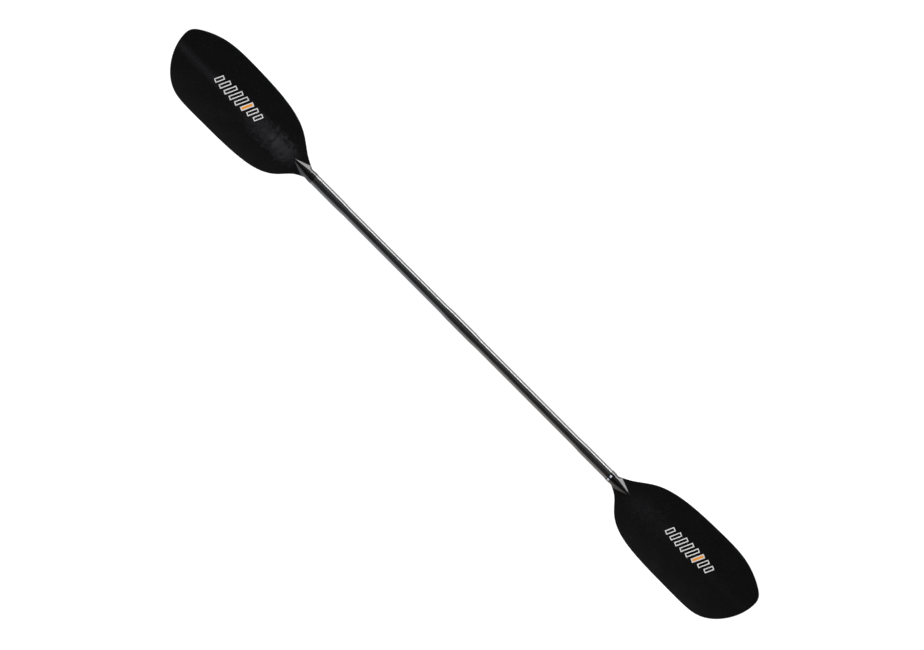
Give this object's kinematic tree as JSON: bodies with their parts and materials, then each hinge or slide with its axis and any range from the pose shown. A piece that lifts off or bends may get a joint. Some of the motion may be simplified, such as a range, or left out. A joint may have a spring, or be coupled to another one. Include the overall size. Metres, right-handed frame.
{
  "type": "kayak paddle",
  "caption": "Double-bladed whitewater kayak paddle: straight carbon tube shaft with oval grip zones, and two spooned, asymmetric black blades.",
  "frame": {"origin": "on the shaft's axis at the middle of the shaft", "axes": "+X along the shaft to the right blade, +Y across the blades to their longer edges, +Z the way the power faces look"},
  "size_m": [1.97, 0.1905, 0.0504],
  "materials": {
    "shaft": "clear-coated unidirectional carbon fibre",
    "left_blade": "satin moulded carbon-filled nylon",
    "right_blade": "satin moulded carbon-filled nylon",
    "end_bands": "gloss black film",
    "band_marks": "printed",
    "bond": "cured epoxy",
    "foam": "closed-cell foam",
    "mark_lines": "printed film",
    "mark_accent": "printed film"
  },
  "bodies": {
    "root": {"shaft_tube": "shaft", "left_blade": "left_blade", "right_blade": "right_blade", "left_end_band": "end_bands", "right_end_band": "end_bands", "right_band_marks": "band_marks", "left_bond": "bond", "right_bond": "bond", "left_foam_bung": "foam", "right_foam_bung": "foam", "left_mark": "mark_lines", "right_mark": "mark_lines", "left_mark_accent": "mark_accent", "right_mark_accent": "mark_accent"}
  },
  "joints": []
}
